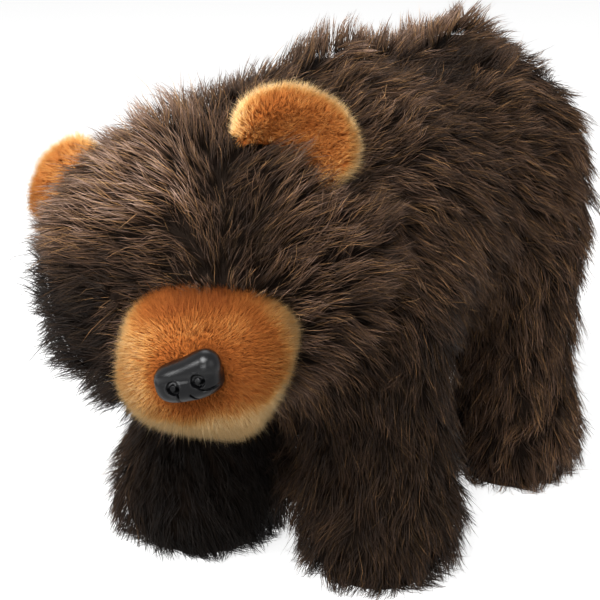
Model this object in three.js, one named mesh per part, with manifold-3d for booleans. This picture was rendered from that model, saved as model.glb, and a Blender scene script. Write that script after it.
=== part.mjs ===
// A plush toy bear that stands on all fours with its head turned to its left: a body, head and legs
// of long-pile faux fur, a muzzle and ears of short pile, a moulded nose and eyes, and sewn soles.
// Millimetres, +Z up, the floor at Z = 0. The bear faces -Y, and +X is its left.
// Each furry surface stands for the tips of the pile, so the solids hold the toy's full outline.
import * as THREE from "three";
import { mergeVertices } from "three/addons/utils/BufferGeometryUtils.js";
import Module from "manifold-3d";

const wasm = await Module();
wasm.setup();

// Driving dimensions.
const rumpHeight = 221; // floor to the top of the rump
const legTrack = 94; // between the middles of the left and right forefeet
const wheelbase = 130; // between the middles of the fore and hind legs
const legRadius = 39; // a foreleg at the knee, out to the tips of the pile
const trunkHalfWidth = 68;
const headHalfWidth = 74;
const muzzleHalfWidth = 36;
const earHalfWidth = 28;
const earHeight = 25; // from the middle of its base to its rim
const noseHalfWidth = 12.6;
const eyeRadius = 5;
const soleThickness = 3;

// Making dimensions.
const seamGap = 0.4; // between two sewn pieces
const bodyFacet = 15;
const headFacet = 12.5;
const trimFacet = { muzzle: 8.5, ear: 5.6, tail: 8, nose: 2.3 };

const degrees = Math.PI / 180;
const sides = { left: 1, right: -1 };

// ---- Forms: functions of a point that are negative inside, and give about the distance to the surface ----

// A frame at a point, turned about its X (nod), Y (tilt) and Z (turn), in degrees.
function frameAt(point, nod = 0, tilt = 0, turn = 0) {
  const angles = new THREE.Euler(nod * degrees, tilt * degrees, turn * degrees, "ZYX");
  return new THREE.Matrix4().makeRotationFromEuler(angles).setPosition(...point);
}

// An ellipsoid in a frame. A squareness over 2 fills it out towards its box.
function ellipsoid(radii, frame, squareness = 2) {
  const inverse = frame.clone().invert();
  const local = new THREE.Vector3();
  return (p) => {
    const shares = local.copy(p).applyMatrix4(inverse).toArray().map((x, k) => Math.abs(x) / radii[k]);
    const reach = shares.reduce((sum, s) => sum + s ** squareness, 0) ** (1 / squareness);
    if (reach < 1e-6) return -Math.min(...radii);
    const slopes = shares.map((s, k) => (s / reach) ** (squareness - 1) / radii[k]);
    return (reach - 1) / Math.hypot(...slopes);
  };
}

// A limb with a round end of each radius.
function limb(start, startRadius, end, endRadius) {
  const from = new THREE.Vector3(...start);
  const along = new THREE.Vector3(...end).sub(from);
  const reach = new THREE.Vector3();
  return (p) => {
    reach.copy(p).sub(from);
    const share = THREE.MathUtils.clamp(reach.dot(along) / along.lengthSq(), 0, 1);
    const radius = THREE.MathUtils.lerp(startRadius, endRadius, share);
    return reach.addScaledVector(along, -share).length() - radius;
  };
}

// The union of forms, with a fillet where they meet.
function blend(fillet, ...forms) {
  return (p) =>
    forms.map((form) => form(p)).reduce((a, b) => {
      const near = Math.max(fillet - Math.abs(a - b), 0) / fillet;
      return Math.min(a, b) - (near * near * fillet) / 4;
    });
}

const without = (fillet, form, ...hollows) => {
  const filled = blend(fillet, (p) => -form(p), ...hollows);
  return (p) => -filled(p);
};
const grown = (form, by) => (p) => form(p) - by;

// ---- Trunk, neck and legs: one stuffed cover ----

const rump = ellipsoid([trunkHalfWidth + 6, 64, 73], frameAt([0, 72, rumpHeight - 73]));
const barrel = ellipsoid([trunkHalfWidth, 100, 70], frameAt([0, 8, 147]));
const shoulders = ellipsoid([trunkHalfWidth, 58, 70], frameAt([0, -42, 151]));
const neck = limb([0, -50, 165], 56, [-4, -96, 162], 56);

// Each leg: a side, the place of its foot along Y, its distance from the midline and its radius.
const foreY = -66;
const hindY = foreY + wheelbase;
const legPlaces = {
  foreleg_left: { side: 1, hipY: foreY, footY: foreY, out: legTrack / 2 - 4, radius: legRadius },
  foreleg_right: { side: -1, hipY: foreY, footY: foreY - 14, out: legTrack / 2 - 2, radius: legRadius + 3 },
  hindleg_left: { side: 1, hipY: hindY, footY: hindY - 3, out: legTrack / 2 - 2, radius: legRadius - 3 },
  hindleg_right: { side: -1, hipY: hindY, footY: hindY + 4, out: legTrack / 2 - 2, radius: legRadius - 3 },
};

function legForm({ side, hipY, footY, out, radius }) {
  const shank = limb([side * (out - 8), hipY, 110], radius + 3, [side * out, footY, 30], radius - 4);
  const paw = ellipsoid([radius + 1, radius + 4, 32], frameAt([side * out, footY - 2, 25]));
  return blend(14, shank, paw);
}

const legForms = Object.values(legPlaces).map(legForm);
const torso = blend(22, rump, barrel, shoulders);
const onLegs = legForms.map((leg) => blend(20, torso, leg));
const cover = blend(16, (p) => Math.min(...onLegs.map((form) => form(p))), neck);
const tail = limb([0, 122, 186], 15, [0, 132, 172], 12);

// ---- Head: turned to the bear's left and tilted, with the muzzle along its own -Y ----

const headFrame = frameAt([-8, -126, 147], 0, -14, 33);
const onHead = (point, ...turns) => headFrame.clone().multiply(frameAt(point, ...turns));
const skull = ellipsoid([headHalfWidth - 2, 64, 65], onHead([0, 0, 2]));
const cheeks = ellipsoid([headHalfWidth - 2, 50, 45], onHead([7, -4, -13]));
const head = blend(20, skull, cheeks);
const muzzle = ellipsoid([muzzleHalfWidth, 48, 28.5], onHead([0.3, -46, -24.8], -14, 20, 0), 3);

// An ear is a cup: a disc with its front hollowed out.
const earPlaces = {
  left: onHead([48.5, -18, 41.5], -18, 26, 8),
  right: onHead([-40, 9, 36], -10, -30, -14),
};
function earForm(frame) {
  const disc = ellipsoid([earHalfWidth, 12, earHeight], frame);
  const cupFrame = frame.clone().multiply(frameAt([0, -11, -3]));
  const cup = ellipsoid([earHalfWidth * 0.62, 10, earHeight * 0.62], cupFrame);
  return without(5, disc, cup);
}

const eyePlace = (side) => onHead([side * 29, -44.5, 8]);

// The nose: a rounded block with an overhanging brow, two nostrils with a slit each, and a groove below.
const noseFrame = onHead([-2, -91.5, -16.5], 0, -8, -14);
const onNose = (x, y, z) => new THREE.Vector3(x, y, z).applyMatrix4(noseFrame).toArray();
function noseForm() {
  const block = ellipsoid([noseHalfWidth, 8.5, 9.5], noseFrame, 2.5);
  const brow = limb(onNose(-6.6, -2.5, 3.8), 4.3, onNose(6.6, -2.5, 3.8), 4.3);
  const openings = Object.values(sides).flatMap((side) => [
    limb(onNose(side * 4.8, -9.5, -1.5), 2.2, onNose(side * 4.8, -5.6, -1.5), 1.8),
    limb(onNose(side * 5.8, -9, -3), 1, onNose(side * 10.8, -6.2, -4.8), 0.8),
  ]);
  const groove = limb(onNose(0, -9.3, -5), 0.9, onNose(0, -5.6, -10), 0.9);
  return without(1.2, blend(4, block, brow), ...openings, groove);
}

// ---- Facets ----

// Surface nets: one vertex in each grid cell that the surface crosses, drawn onto the surface.
function facet(form, low, high, cell) {
  const count = low.map((from, k) => Math.ceil((high[k] - from) / cell) + 1);
  const stride = [1, count[0], count[0] * count[1]];
  const at = (i, j, k) => new THREE.Vector3(i, j, k).multiplyScalar(cell).add(new THREE.Vector3(...low));
  const value = new Float32Array(count[0] * count[1] * count[2]);
  const cells = [];
  for (let k = 0; k < count[2]; k++)
    for (let j = 0; j < count[1]; j++)
      for (let i = 0; i < count[0]; i++) {
        value[i + j * stride[1] + k * stride[2]] = form(at(i, j, k));
        cells.push([i, j, k]);
      }

  const vertices = [];
  const vertexOf = new Map();
  for (const [i, j, k] of cells) {
    if (i === count[0] - 1 || j === count[1] - 1 || k === count[2] - 1) continue;
    const base = i + j * stride[1] + k * stride[2];
    const middle = new THREE.Vector3();
    let crossings = 0;
    for (let axis = 0; axis < 3; axis++)
      for (let corner = 0; corner < 4; corner++) {
        const place = [0, 0, 0];
        place[(axis + 1) % 3] = corner & 1;
        place[(axis + 2) % 3] = corner >> 1;
        const a = base + place[0] + place[1] * stride[1] + place[2] * stride[2];
        const b = a + stride[axis];
        if (value[a] < 0 === value[b] < 0) continue;
        place[axis] = value[a] / (value[a] - value[b]);
        middle.add(at(i + place[0], j + place[1], k + place[2]));
        crossings++;
      }
    if (!crossings) continue;
    drawOnto(form, middle.divideScalar(crossings), cell);
    vertexOf.set(base, vertices.length / 3);
    vertices.push(...middle.toArray());
  }

  const faces = [];
  for (const [i, j, k] of cells) {
    if (!i || !j || !k) continue;
    const base = i + j * stride[1] + k * stride[2];
    for (let axis = 0; axis < 3; axis++) {
      if ([i, j, k][axis] === count[axis] - 1 || value[base] < 0 === value[base + stride[axis]] < 0) continue;
      const u = stride[(axis + 1) % 3];
      const v = stride[(axis + 2) % 3];
      const ring = [base, base - u, base - u - v, base - v].map((n) => vertexOf.get(n));
      if (value[base] >= 0) ring.reverse();
      faces.push(ring[0], ring[1], ring[2], ring[0], ring[2], ring[3]);
    }
  }
  const geometry = new THREE.BufferGeometry();
  geometry.setAttribute("position", new THREE.Float32BufferAttribute(vertices, 3));
  return geometry.setIndex(faces);
}

// Newton steps along the form's slope, kept inside the cell.
function drawOnto(form, point, cell) {
  const start = point.clone();
  const step = cell / 40;
  for (let turn = 0; turn < 4; turn++) {
    const here = form(point);
    const slope = new THREE.Vector3(...[0, 1, 2].map((axis) => {
      const ahead = point.clone();
      ahead.setComponent(axis, ahead.getComponent(axis) + step);
      return (form(ahead) - here) / step;
    }));
    point.addScaledVector(slope, -here / Math.max(slope.lengthSq(), 0.3));
  }
  const moved = point.clone().sub(start).clampLength(0, cell * 0.6);
  point.copy(start).add(moved);
}

// ---- Solids ----

function solidOf(geometry) {
  const bare = geometry.clone();
  for (const name of ["normal", "uv"]) bare.deleteAttribute(name);
  const merged = mergeVertices(bare, 1e-4);
  return new wasm.Manifold(
    new wasm.Mesh({
      numProp: 3,
      vertProperties: merged.attributes.position.array,
      triVerts: new Uint32Array(merged.index.array),
    }),
  );
}

// A form as a solid. It lies within the given reach of a point, and the point is on the grid.
function solid(form, middle, reach, cell) {
  const half = Math.ceil(reach / cell) * cell;
  const low = middle.map((x) => x - half);
  const high = middle.map((x) => x + half);
  return solidOf(facet(form, low, high, cell));
}

// A box from low to high, grown by a gap, in a frame.
function block(low, high, gap = 0, frame = new THREE.Matrix4()) {
  const size = low.map((from, k) => high[k] - from + 2 * gap);
  const middle = low.map((from, k) => (from + high[k]) / 2);
  const box = new THREE.BoxGeometry(...size).translate(...middle);
  return solidOf(box.applyMatrix4(frame));
}

const far = 400;
const aboveFloor = block([-far, -far, 0], [far, far, far]);
const coverMiddle = [0, 0, 120];
const headMiddle = new THREE.Vector3().setFromMatrixPosition(headFrame).toArray();

const coverSolid = solid(cover, coverMiddle, 190, bodyFacet).intersect(aboveFloor);
const headSolid = (gap) => solid(grown(head, gap), headMiddle, 95, headFacet);
const headless = coverSolid.subtract(headSolid(seamGap));

// The neck runs forward of the shoulder seam and above the chest.
const neckBlock = (gap) => block([-far, -far, 104], [far, -66, far], gap);

// A leg fills a round hole in the trunk's cover, below a seam that rises outwards from the crotch.
const crotchHeight = 76;
const legSeamRise = 38;
function legBlock({ side, footY, out, radius }, gap) {
  const sleeve = new THREE.CylinderGeometry(radius + 14 + gap, radius + 14 + gap, 2 * far, 32);
  sleeve.rotateX(90 * degrees).translate(side * out, footY, 0);
  const tilted = frameAt([0, 0, crotchHeight], 0, -side * legSeamRise, 0);
  const below = block([-far, -far, -far], [far, far, 0], gap, tilted);
  const oneSide = block([seamGap / 2, -far, -far], [far, far, far]);
  return solidOf(sleeve).intersect(below).intersect(side > 0 ? oneSide : oneSide.mirror([1, 0, 0]));
}

const pieces = {};

const legBlocks = Object.values(legPlaces).map((place) => legBlock(place, seamGap));
pieces.trunk = [headless, neckBlock(seamGap), ...legBlocks].reduce((rest, cut) => rest.subtract(cut));
pieces.neck = [headless.intersect(neckBlock(0)), ...legBlocks].reduce((rest, cut) => rest.subtract(cut));

const soleSlab = block([-far, -far, -1], [far, far, soleThickness]);
const aboveSoles = block([-far, -far, soleThickness + seamGap], [far, far, far]);
for (const [name, place] of Object.entries(legPlaces)) {
  const leg = headless.intersect(legBlock(place, 0));
  pieces[name] = leg.intersect(aboveSoles);
  pieces[name.replace("leg", "sole")] = leg.intersect(soleSlab);
}

pieces.tail = solid(tail, [0, 131, 178], 40, trimFacet.tail).subtract(
  solid(grown(cover, seamGap), coverMiddle, 190, bodyFacet),
);

const earSeat = headSolid(seamGap).add(solid(grown(cover, seamGap), coverMiddle, 190, bodyFacet));
const muzzleMiddle = new THREE.Vector3(0, -50, -20).applyMatrix4(headFrame).toArray();
const muzzleSolid = (gap) => solid(grown(muzzle, gap), muzzleMiddle, 60, trimFacet.muzzle);
pieces.muzzle = muzzleSolid(0).subtract(headSolid(seamGap));

const noseMiddle = new THREE.Vector3().setFromMatrixPosition(noseFrame).toArray();
pieces.nose = solid(noseForm(), noseMiddle, 20, trimFacet.nose).subtract(muzzleSolid(seamGap));

// Each eye is a bead at the bottom of a parting in the pile.
pieces.head = headSolid(0);
for (const [name, side] of Object.entries(sides)) {
  const sphere = (radius) => new THREE.SphereGeometry(radius, 10, 7).applyMatrix4(eyePlace(side));
  const bead = (gap) => solidOf(sphere(eyeRadius + gap));
  pieces["eye_" + name] = bead(0);
  const parting = new THREE.CylinderGeometry(eyeRadius + seamGap, eyeRadius + 2, 24, 10);
  parting.translate(0, -12, 0).applyMatrix4(eyePlace(side));
  pieces.head = pieces.head.subtract(bead(seamGap)).subtract(solidOf(parting));

  const ear = earPlaces[name];
  const earMiddle = new THREE.Vector3().setFromMatrixPosition(ear).toArray();
  pieces["ear_" + name] = solid(earForm(ear), earMiddle, 34, trimFacet.ear).subtract(earSeat);
}

// ---- The toy ----

const materials = {
  brownFur: new THREE.MeshStandardMaterial({ color: 0x3a2c22, roughness: 0.85, metalness: 0 }),
  tanPile: new THREE.MeshStandardMaterial({ color: 0xb98046, roughness: 0.9, metalness: 0 }),
  blackPlastic: new THREE.MeshStandardMaterial({ color: 0x17181a, roughness: 0.4, metalness: 0 }),
  soleCloth: new THREE.MeshStandardMaterial({ color: 0x2c211a, roughness: 0.95, metalness: 0 }),
};

function materialFor(name) {
  if (name.includes("sole")) return materials.soleCloth;
  if (name === "nose" || name.startsWith("eye")) return materials.blackPlastic;
  return name === "muzzle" || name.startsWith("ear") ? materials.tanPile : materials.brownFur;
}

// The largest body of a cut solid, without the slivers and the tiny edges that a cut leaves.
function largest(cut) {
  return cut.decompose().reduce((a, b) => (a.volume() > b.volume() ? a : b)).simplify(0.05);
}

const bear = new THREE.Group();
for (const [name, cut] of Object.entries(pieces)) {
  const { numProp, vertProperties, triVerts } = largest(cut).getMesh();
  const geometry = new THREE.BufferGeometry();
  const positions = new THREE.InterleavedBuffer(vertProperties, numProp);
  geometry.setAttribute("position", new THREE.InterleavedBufferAttribute(positions, 3, 0));
  geometry.setIndex(new THREE.BufferAttribute(triVerts, 1));
  const plain = geometry.toNonIndexed();
  plain.computeVertexNormals();
  const mesh = new THREE.Mesh(plain, materialFor(name));
  mesh.name = name;
  bear.add(mesh);
}

// The origin is on the floor, below the middle of the toy's box.
const box = new THREE.Box3().setFromObject(bear);
const middle = box.getCenter(new THREE.Vector3());
bear.position.set(-middle.x, -middle.y, -box.min.z);

export default bear;
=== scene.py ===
"""A plush toy bear on all fours, its head turned to its left, in the order that a toy maker makes it."""

import math

import bpy
import numpy as np
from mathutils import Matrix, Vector
from mathutils.bvhtree import BVHTree
from mathutils.kdtree import KDTree


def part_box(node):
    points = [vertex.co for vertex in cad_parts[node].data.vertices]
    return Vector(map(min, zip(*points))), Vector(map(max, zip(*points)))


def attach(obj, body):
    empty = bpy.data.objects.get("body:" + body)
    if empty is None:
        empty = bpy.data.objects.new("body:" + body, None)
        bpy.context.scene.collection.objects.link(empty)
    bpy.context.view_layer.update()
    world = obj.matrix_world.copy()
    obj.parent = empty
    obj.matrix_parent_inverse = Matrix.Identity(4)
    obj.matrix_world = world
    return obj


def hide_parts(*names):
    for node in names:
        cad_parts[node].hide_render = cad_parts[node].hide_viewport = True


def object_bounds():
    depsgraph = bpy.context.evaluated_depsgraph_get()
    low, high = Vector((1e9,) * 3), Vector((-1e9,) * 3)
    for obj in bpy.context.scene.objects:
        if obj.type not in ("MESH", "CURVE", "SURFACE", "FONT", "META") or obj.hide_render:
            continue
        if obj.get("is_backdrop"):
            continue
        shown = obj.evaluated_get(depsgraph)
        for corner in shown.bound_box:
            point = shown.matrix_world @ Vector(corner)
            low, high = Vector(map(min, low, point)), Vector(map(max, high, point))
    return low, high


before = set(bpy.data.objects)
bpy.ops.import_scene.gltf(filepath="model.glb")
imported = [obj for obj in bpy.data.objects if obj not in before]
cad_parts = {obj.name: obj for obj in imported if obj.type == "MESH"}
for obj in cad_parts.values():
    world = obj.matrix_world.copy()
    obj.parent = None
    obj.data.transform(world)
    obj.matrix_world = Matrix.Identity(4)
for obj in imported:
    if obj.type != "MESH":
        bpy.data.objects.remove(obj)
cad_low, cad_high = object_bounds()
scene = bpy.context.scene


# ---- Camera: a long lens, in front of the bear and to its left, a little above its back ----
# It stands off from the middle of the trunk, and looks a little to the right of it.

CAMERA_DISTANCE = 0.76
CAMERA_AZIMUTH = 32.0
CAMERA_ELEVATION = 17.5
CAMERA_CENTRE = Vector((0.001, 0.006, 0.110))
CAMERA_AIM = Vector((-0.0154, -0.0043, 0.1056))


def in_scene(name, data):
    """An object with this mesh, lamp or camera, in the scene."""
    made = bpy.data.objects.new(name, data)
    scene.collection.objects.link(made)
    return made


def way_to(azimuth, elevation):
    """The direction from the toy to a place round it, in degrees: azimuth 0 is in front, 90 to its left."""
    a, e = math.radians(azimuth), math.radians(elevation)
    return Vector((math.sin(a) * math.cos(e), -math.cos(a) * math.cos(e), math.sin(e)))


lens = bpy.data.cameras.new("camera")
lens.lens = 99.0
lens.sensor_width = 36.0
lens.clip_start, lens.clip_end = 0.05, 20.0
camera = in_scene("camera", lens)
camera.location = CAMERA_CENTRE + way_to(CAMERA_AZIMUTH, CAMERA_ELEVATION) * CAMERA_DISTANCE
camera.rotation_euler = (CAMERA_AIM - camera.location).to_track_quat("-Z", "Y").to_euler()
scene.camera = camera


# ---- Floor and light: a white studio table under large soft lamps ----
# Table and backdrop are a plain white to the eye, and give little light back to the toy.

TABLE_HALF_SIDE = 14.0
LAMPS_AIM = Vector((0, 0, 0.1))


def linear(hex_colour):
    """An sRGB colour such as "#8a5a2b" as the linear colour that a shader takes."""
    parts = [int(hex_colour[k : k + 2], 16) / 255 for k in (1, 3, 5)]
    return tuple(c / 12.92 if c <= 0.04045 else ((c + 0.055) / 1.055) ** 2.4 for c in parts) + (1.0,)


def node(tree, kind, links=None, stops=(), **settings):
    """Adds a node.

    Settings are properties or inputs by name, links is {input: output}, and stops are a ramp's colours.
    """
    made = tree.nodes.new(kind)
    for number, (place, colour) in enumerate(stops):
        elements = made.color_ramp.elements
        stop = elements[number] if number < 2 else elements.new(place)
        stop.position, stop.color = place, linear(colour)
    for name, value in settings.items():
        if hasattr(made, name):
            setattr(made, name, value)
        else:
            made.inputs[name.replace("_", " ")].default_value = value
    for name, output in (links or {}).items():
        tree.links.new(output, made.inputs[name])
    return made


def blank_material(name):
    """A material with an empty node tree, and its tree."""
    material = bpy.data.materials.new(name)
    material.use_nodes = True
    material.node_tree.nodes.clear()
    return material, material.node_tree


def looked_at(tree):
    """1 for a ray that looks at the studio, straight or mirrored, and 0 for one that lights the toy."""
    rays = node(tree, "ShaderNodeLightPath").outputs
    looks = {0: rays["Is Camera Ray"], 1: rays["Is Glossy Ray"]}
    looks = node(tree, "ShaderNodeMath", looks, operation="MAXIMUM").outputs[0]
    looks = {0: looks, 1: rays["Is Transmission Ray"]}
    return node(tree, "ShaderNodeMath", looks, operation="MAXIMUM").outputs[0]


# A laminate that glows a little, so that it stays white under the lamps with a faint shadow of the toy.
white_laminate, tree = blank_material("studio_white_laminate")
glow = node(tree, "ShaderNodeEmission", Strength=0.86)
matt = node(tree, "ShaderNodeBsdfDiffuse", Color=linear("#959595"))
lit = node(tree, "ShaderNodeAddShader", {0: glow.outputs[0], 1: matt.outputs[0]})
dim = node(tree, "ShaderNodeBsdfDiffuse", Color=linear("#868686"))
mix = {0: looked_at(tree), 1: dim.outputs[0], 2: lit.outputs[0]}
mix = node(tree, "ShaderNodeMixShader", mix)
node(tree, "ShaderNodeOutputMaterial", {"Surface": mix.outputs[0]})

table_mesh = bpy.data.meshes.new("studio_table")
ends = (-TABLE_HALF_SIDE, TABLE_HALF_SIDE)
table_mesh.from_pydata([(x, y, 0) for y in ends for x in ends], [], [(0, 1, 3, 2)])
table_mesh.materials.append(white_laminate)
table = in_scene("studio_table", table_mesh)
table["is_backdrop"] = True

world = bpy.data.worlds.new("studio")
world.use_nodes = True
world.node_tree.nodes.clear()
tree = world.node_tree
backdrop = node(tree, "ShaderNodeBackground", Color=linear("#ffffff"), Strength=1.0)
room = node(tree, "ShaderNodeBackground", Color=linear("#ffffff"), Strength=0.10)
mix = {0: looked_at(tree), 1: room.outputs[0], 2: backdrop.outputs[0]}
mix = node(tree, "ShaderNodeMixShader", mix)
node(tree, "ShaderNodeOutputWorld", {"Surface": mix.outputs[0]})
scene.world = world


def softbox(name, azimuth, elevation, distance, width, strength):
    """A square lamp that shines on the toy from round it."""
    lamp = bpy.data.lights.new(name, "AREA")
    lamp.shape = "SQUARE"
    lamp.size = width
    lamp.energy = strength
    box = in_scene(name, lamp)
    way = way_to(azimuth, elevation)
    box.location = LAMPS_AIM + way * distance
    box.rotation_euler = way.to_track_quat("Z", "Y").to_euler()


softbox("key_softbox", azimuth=12, elevation=46, distance=1.5, width=0.7, strength=42)
softbox("side_softbox", azimuth=75, elevation=20, distance=1.7, width=1.1, strength=7)
softbox("low_softbox", azimuth=-24, elevation=23, distance=1.6, width=0.32, strength=11)
softbox("floor_softbox", azimuth=24, elevation=8, distance=1.5, width=0.40, strength=8)
softbox("back_softbox", azimuth=-140, elevation=60, distance=1.6, width=0.9, strength=8)

scene.view_settings.view_transform = "Standard"


# ---- Cover: the brown knitted backing of the fur, sewn up and stuffed ----
# One skin stands for the trunk, neck, head, legs and tail. It lies under the tips of the pile by the
# pile's depth, and is closed at the seams.

LEGS = ["foreleg_left", "foreleg_right", "hindleg_left", "hindleg_right"]
COVER_NODES = ["trunk", "neck", "head", *LEGS, "tail"]
SOLES = ["foresole_left", "foresole_right", "hindsole_left", "hindsole_right"]
EYES = ["eye_left", "eye_right"]
EARS = ["ear_left", "ear_right"]
COVER_VOXEL = 0.003
# how far the tips of the pile stand off the backing
PILE_DEPTH = {"trunk": 0.0105, "neck": 0.0105, "head": 0.0095, "leg": 0.0085, "tail": 0.0050}
BACK_LINE = 0.001  # x of the ridge along the back
RIDGE_RISE = 0.0045  # of the backing, along that line


def corners_of(mesh):
    """Vertices as an array."""
    points = np.empty(len(mesh.vertices) * 3)
    mesh.vertices.foreach_get("co", points)
    return points.reshape(-1, 3)


def normals_of(mesh):
    """Vertex normals as an array."""
    normals = np.empty(len(mesh.vertices) * 3)
    mesh.vertices.foreach_get("normal", normals)
    return normals.reshape(-1, 3)


def triangles_of(mesh):
    """Triangles as an array of vertex numbers."""
    mesh.calc_loop_triangles()
    triangles = np.empty(len(mesh.loop_triangles) * 3, np.int64)
    mesh.loop_triangles.foreach_get("vertices", triangles)
    return triangles.reshape(-1, 3)


def edges_of(mesh):
    """Edges as an array of vertex numbers."""
    edges = np.empty(len(mesh.edges) * 2, np.int64)
    mesh.edges.foreach_get("vertices", edges)
    return edges.reshape(-1, 2)


def set_corners(mesh, points):
    """Moves the vertices."""
    mesh.vertices.foreach_set("co", points.ravel())
    mesh.update()


def unit(vectors):
    """Each row at length 1."""
    return vectors / np.maximum(np.linalg.norm(vectors, axis=-1, keepdims=True), 1e-12)


def smooth_step(low, high, value):
    """0 below low, 1 above high, smooth between."""
    share = np.clip((value - low) / (high - low), 0, 1)
    return share * share * (3 - 2 * share)


def smoothed(values, edges, rounds):
    """A value at each vertex, evened out with its neighbours."""
    both = np.concatenate([edges, edges[:, ::-1]])
    count = np.bincount(both[:, 0], minlength=len(values))[:, None]
    flat = values.reshape(len(values), -1).astype(float)
    for _ in range(rounds):
        columns = [np.bincount(both[:, 0], flat[both[:, 1], k], len(flat)) for k in range(flat.shape[1])]
        flat = 0.5 * flat + 0.5 * np.stack(columns, 1) / np.maximum(count, 1)
    return flat.reshape(values.shape)


def joined(name, node_names, swell=0.0005):
    """The CAD nodes in one mesh, each swollen a little so that they overlap at the seams."""
    points, faces = [], []
    start = 0
    for node_name in node_names:
        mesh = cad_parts[node_name].data
        points.append(corners_of(mesh) + normals_of(mesh) * swell)
        faces.append(triangles_of(mesh) + start)
        start += len(points[-1])
    mesh = bpy.data.meshes.new(name)
    mesh.from_pydata(np.concatenate(points).tolist(), [], np.concatenate(faces).tolist())
    # the nodes come with split corners, which are welded so that each solid is closed
    made = in_scene(name, mesh)
    weld = made.modifiers.new("weld", "WELD")
    weld.merge_threshold = 0.00005
    return made


def remesh(made, voxel, rounds):
    """Turns the mesh into one closed skin of even facets, smoothed."""
    shell = made.modifiers.new("shell", "REMESH")
    shell.mode = "VOXEL"
    shell.voxel_size = voxel
    evened = made.modifiers.new("evened", "SMOOTH")
    evened.factor = 0.5
    evened.iterations = rounds
    applied(made)


def applied(made):
    """Applies the modifiers."""
    graph = bpy.context.evaluated_depsgraph_get()
    mesh = bpy.data.meshes.new_from_object(made.evaluated_get(graph))
    made.modifiers.clear()
    made.data = mesh


def tree_of(mesh):
    """A search tree over a mesh's triangles."""
    return BVHTree.FromPolygons(corners_of(mesh).tolist(), triangles_of(mesh).tolist())


def distances(points, tree):
    """How far each point is from the nearest triangle."""
    return np.array([tree.find_nearest(p)[3] for p in points.tolist()])


def middle_of(node_name):
    """The middle of a CAD node's box."""
    low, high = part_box(node_name)
    return np.array((low + high) / 2)


def cloth_material(name, grain_scale, dark, light, relief, relief_height):
    """Knitted or woven cloth: matt all over, and mottled finely by its yarn."""
    made, tree = blank_material(name)
    grain = node(tree, "ShaderNodeTexNoise", Scale=grain_scale, Detail=3.0).outputs["Fac"]
    colour = node(tree, "ShaderNodeValToRGB", {"Fac": grain}, [(0.3, dark), (0.7, light)])
    bump = node(tree, "ShaderNodeBump", {"Height": grain}, Strength=relief, Distance=relief_height)
    cloth = {"Base Color": colour.outputs["Color"], "Normal": bump.outputs[0]}
    cloth = node(tree, "ShaderNodeBsdfPrincipled", cloth, Roughness=0.95, Specular_IOR_Level=0.05)
    node(tree, "ShaderNodeOutputMaterial", {"Surface": cloth.outputs[0]})
    return made


cover = joined("cover_backing", COVER_NODES)
remesh(cover, COVER_VOXEL, rounds=12)
tip_points = corners_of(cover.data)
cover_normals = unit(smoothed(normals_of(cover.data), edges_of(cover.data), 4))
cover_edges = edges_of(cover.data)

# which part each place on the skin belongs to: the one whose solid is nearest
part_trees = {name: tree_of(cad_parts[name].data) for name in COVER_NODES}
part_distance = np.stack([distances(tip_points, part_trees[name]) for name in COVER_NODES])
cover_part = np.argmin(part_distance, axis=0)
on_part = {name: (cover_part == k).astype(float) for k, name in enumerate(COVER_NODES)}
is_leg = sum(on_part[name] for name in LEGS)

pile_depth = sum(on_part[name] * PILE_DEPTH["leg" if name in LEGS else name] for name in COVER_NODES)
pile_depth = smoothed(pile_depth, cover_edges, 20)
# under the feet the backing goes down to the soles, with no pile between
underfoot = smooth_step(0.020, 0.004, tip_points[:, 2]) * smooth_step(-0.2, -0.8, cover_normals[:, 2])
skin_points = tip_points - cover_normals * (pile_depth * (1 - underfoot))[:, None]

# The feet draw in to their soles, by a fifth at the floor.
for name in SOLES:
    sideways = skin_points[:, :2] - middle_of(name)[:2]
    on_foot = np.linalg.norm(sideways, axis=1) < 0.046
    draw = on_foot * smooth_step(0.016, 0.002, skin_points[:, 2]) * 0.20
    skin_points[:, :2] -= sideways * draw[:, None]

# The solids have a parting in the pile over each eye, and the backing has none.
for name in EYES:
    from_eye = np.linalg.norm(tip_points - middle_of(name), axis=1)
    near_eye = smooth_step(0.020, 0.013, from_eye)[:, None]
    skin_points += (smoothed(skin_points, cover_edges, 90) - skin_points) * near_eye

# The backing bridges the creases between the parts, as it does where they are sewn together.
crease = np.sum((smoothed(tip_points, cover_edges, 40) - tip_points) * cover_normals, 1)
skin_points += cover_normals * np.clip(crease * 2.5, 0, 0.007)[:, None]
# Along the back it stands up in a ridge, so that little light comes through between the tufts.
along_back = smooth_step(0.016, 0.007, np.abs(tip_points[:, 0] - BACK_LINE))
along_back *= smooth_step(0.4, 0.9, cover_normals[:, 2]) * (1 - on_part["head"])
skin_points += cover_normals * (RIDGE_RISE * along_back)[:, None]
set_corners(cover.data, smoothed(skin_points, cover_edges, 3))

# The face looks to the bear's left: its own directions, from where its parts are.
head_middle = middle_of("head")
nose_middle = middle_of("nose")
muzzle_middle = middle_of("muzzle")
ear_middle = {side: middle_of("ear_" + side) for side in ("left", "right")}
face_forward = unit(nose_middle - head_middle)
face_left = ear_middle["left"] - ear_middle["right"]
face_left = unit(face_left - face_forward * (face_left @ face_forward))
face_up = np.cross(face_forward, -face_left)
face_up = face_up if face_up[2] > 0 else -face_up

# Knitted polyester, dark and matt where the pile parts. 700 grains along it make each half a millimetre.
brown_backing = cloth_material(
    "brown_knitted_backing", 700.0, dark="#0d0906", light="#1c140f", relief=0.6, relief_height=0.0006
)
cover.data.materials.append(brown_backing)
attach(cover, "root")
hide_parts(*COVER_NODES)


# ---- Long pile: brown acrylic fur, brushed along the body and gathered into locks ----
# Each strand is a thin closed spike that is rooted in the backing. Strands draw together into small
# locks, and those into larger ones, as pressed and handled faux fur does.

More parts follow.
